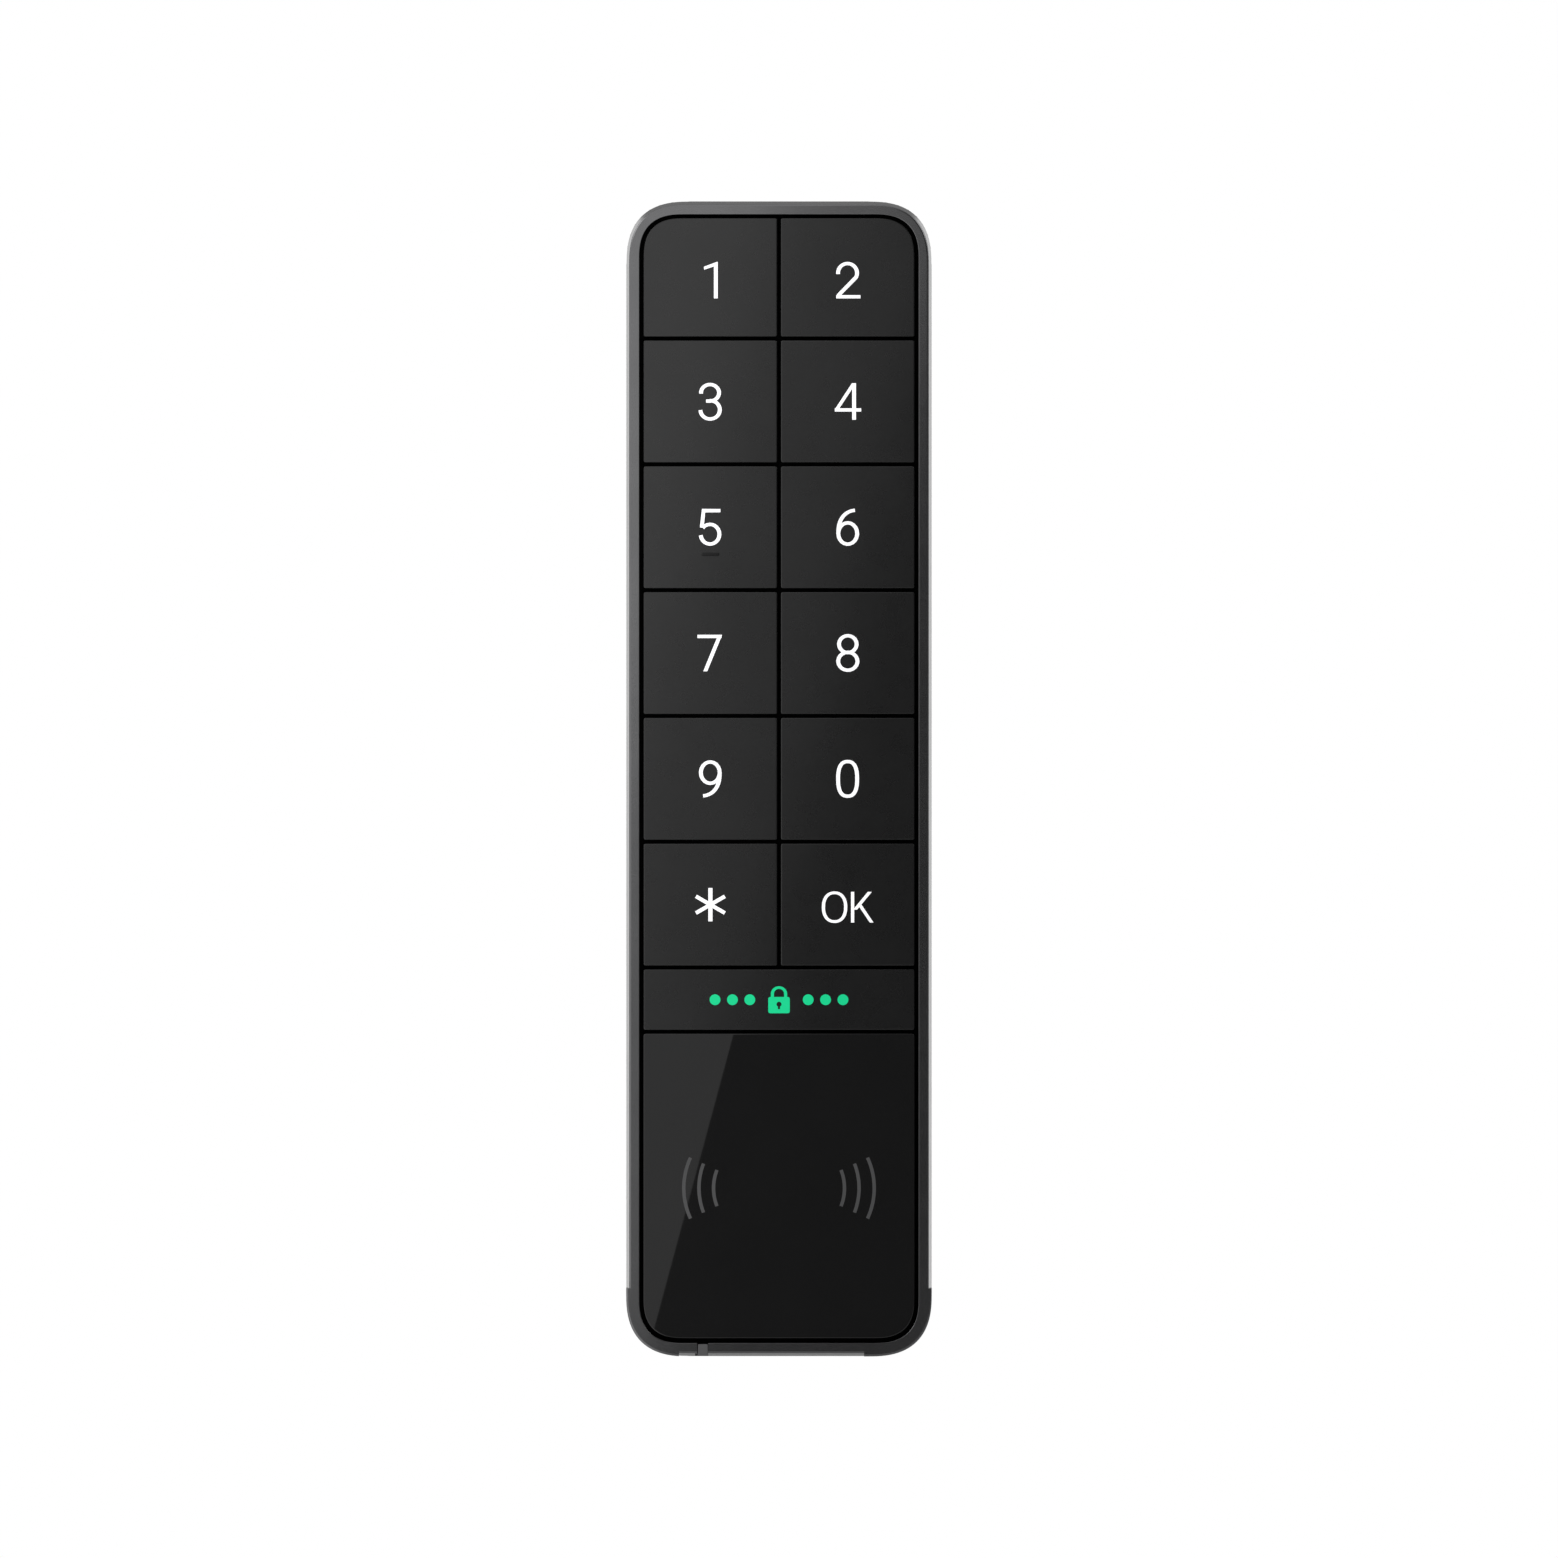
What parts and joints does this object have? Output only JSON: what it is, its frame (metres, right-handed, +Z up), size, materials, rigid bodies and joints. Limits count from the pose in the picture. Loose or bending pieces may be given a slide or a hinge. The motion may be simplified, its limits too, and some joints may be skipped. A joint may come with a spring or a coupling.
{
  "type": "rfid card reader",
  "caption": "Slim wall-mounted black card reader with a two-column number pad, a status strip and a glossy reading pad, hung on a bracket.",
  "frame": {"origin": "centre of the wall bracket's back face, on the wall", "axes": "+Z up, +Y into the wall, the keys face -Y, +X to the right seen from the front"},
  "size_m": [0.044, 0.024, 0.1666],
  "materials": {
    "bracket_plastic": "moulded, fine grain",
    "housing_plastic": "satin black",
    "key_plastic": "satin black, white legends",
    "pad_plastic": "glossy black",
    "smoke_plastic": "translucent smoke grey",
    "screw_steel": "zinc plated",
    "silicone": "soft, translucent grey",
    "black_rubber": "soft black",
    "clear_plastic": "clear",
    "lamp": "moulded lens",
    "board": "green solder mask",
    "copper": "bare copper",
    "ferrite": "dull dark sheet",
    "chip_plastic": "moulded",
    "shield_tin": "tinned steel",
    "white_plastic": "natural nylon",
    "green_plastic": "moulded green"
  },
  "bodies": {
    "wall_bracket": {"wall_bracket": "bracket_plastic", "holding_screw": "screw_steel"},
    "reader": {"front_housing": "housing_plastic", "light_sensor_window": "smoke_plastic", "status_bar": "key_plastic", "reader_pad": "pad_plastic", "rear_cover": "housing_plastic", "key_mat": "silicone", "status_light_guide": "clear_plastic", "status_led_1": "lamp", "status_led_2": "lamp", "status_led_3": "lamp", "main_board": "board", "antenna_board": "board", "antenna_coil": "copper", "ferrite_sheet": "ferrite", "antenna_connector": "white_plastic", "processor_shield": "shield_tin", "reader_chip": "chip_plastic", "buzzer": "chip_plastic", "terminal_block": "green_plastic", "terminal_screw_1": "screw_steel", "terminal_screw_2": "screw_steel", "terminal_screw_3": "screw_steel", "terminal_screw_4": "screw_steel", "tamper_switch": "chip_plastic", "cover_gasket": "black_rubber", "cable_grommet": "black_rubber", "vent_plug": "silicone", "cover_screw_1": "screw_steel", "cover_screw_2": "screw_steel", "cover_screw_3": "screw_steel", "cover_screw_4": "screw_steel", "cover_screw_5": "screw_steel", "cover_screw_6": "screw_steel", "board_screw_1": "screw_steel", "board_screw_2": "screw_steel", "board_screw_3": "screw_steel"},
    "key_1": {"key_1": "key_plastic"},
    "key_2": {"key_2": "key_plastic"},
    "key_3": {"key_3": "key_plastic"},
    "key_4": {"key_4": "key_plastic"},
    "key_5": {"key_5": "key_plastic"},
    "key_6": {"key_6": "key_plastic"},
    "key_7": {"key_7": "key_plastic"},
    "key_8": {"key_8": "key_plastic"},
    "key_9": {"key_9": "key_plastic"},
    "key_0": {"key_0": "key_plastic"},
    "key_star": {"key_star": "key_plastic"},
    "key_ok": {"key_ok": "key_plastic"},
    "tamper_plunger": {"tamper_plunger": "white_plastic"}
  },
  "joints": [
    {"name": "reader_lift", "type": "slide", "parent": "wall_bracket", "child": "reader", "axis": [0, 0, 1], "range_m": [0, 0.006]},
    {"name": "key_1_press", "type": "slide", "parent": "reader", "child": "key_1", "axis": [0, 1, 0], "range_m": [0, 0.0008], "stiffness_N_per_m": 1500, "springref_m": -0.0005, "deforming": ["key_mat"]},
    {"name": "key_2_press", "type": "slide", "parent": "reader", "child": "key_2", "axis": [0, 1, 0], "range_m": [0, 0.0008], "stiffness_N_per_m": 1500, "springref_m": -0.0005, "deforming": ["key_mat"]},
    {"name": "key_3_press", "type": "slide", "parent": "reader", "child": "key_3", "axis": [0, 1, 0], "range_m": [0, 0.0008], "stiffness_N_per_m": 1500, "springref_m": -0.0005, "deforming": ["key_mat"]},
    {"name": "key_4_press", "type": "slide", "parent": "reader", "child": "key_4", "axis": [0, 1, 0], "range_m": [0, 0.0008], "stiffness_N_per_m": 1500, "springref_m": -0.0005, "deforming": ["key_mat"]},
    {"name": "key_5_press", "type": "slide", "parent": "reader", "child": "key_5", "axis": [0, 1, 0], "range_m": [0, 0.0008], "stiffness_N_per_m": 1500, "springref_m": -0.0005, "deforming": ["key_mat"]},
    {"name": "key_6_press", "type": "slide", "parent": "reader", "child": "key_6", "axis": [0, 1, 0], "range_m": [0, 0.0008], "stiffness_N_per_m": 1500, "springref_m": -0.0005, "deforming": ["key_mat"]},
    {"name": "key_7_press", "type": "slide", "parent": "reader", "child": "key_7", "axis": [0, 1, 0], "range_m": [0, 0.0008], "stiffness_N_per_m": 1500, "springref_m": -0.0005, "deforming": ["key_mat"]},
    {"name": "key_8_press", "type": "slide", "parent": "reader", "child": "key_8", "axis": [0, 1, 0], "range_m": [0, 0.0008], "stiffness_N_per_m": 1500, "springref_m": -0.0005, "deforming": ["key_mat"]},
    {"name": "key_9_press", "type": "slide", "parent": "reader", "child": "key_9", "axis": [0, 1, 0], "range_m": [0, 0.0008], "stiffness_N_per_m": 1500, "springref_m": -0.0005, "deforming": ["key_mat"]},
    {"name": "key_0_press", "type": "slide", "parent": "reader", "child": "key_0", "axis": [0, 1, 0], "range_m": [0, 0.0008], "stiffness_N_per_m": 1500, "springref_m": -0.0005, "deforming": ["key_mat"]},
    {"name": "key_star_press", "type": "slide", "parent": "reader", "child": "key_star", "axis": [0, 1, 0], "range_m": [0, 0.0008], "stiffness_N_per_m": 1500, "springref_m": -0.0005, "deforming": ["key_mat"]},
    {"name": "key_ok_press", "type": "slide", "parent": "reader", "child": "key_ok", "axis": [0, 1, 0], "range_m": [0, 0.0008], "stiffness_N_per_m": 1500, "springref_m": -0.0005, "deforming": ["key_mat"]},
    {"name": "tamper_plunger_press", "type": "slide", "parent": "reader", "child": "tamper_plunger", "axis": [0, -1, 0], "range_m": [0, 0.0008], "stiffness_N_per_m": 300, "springref_m": -0.0005}
  ]
}
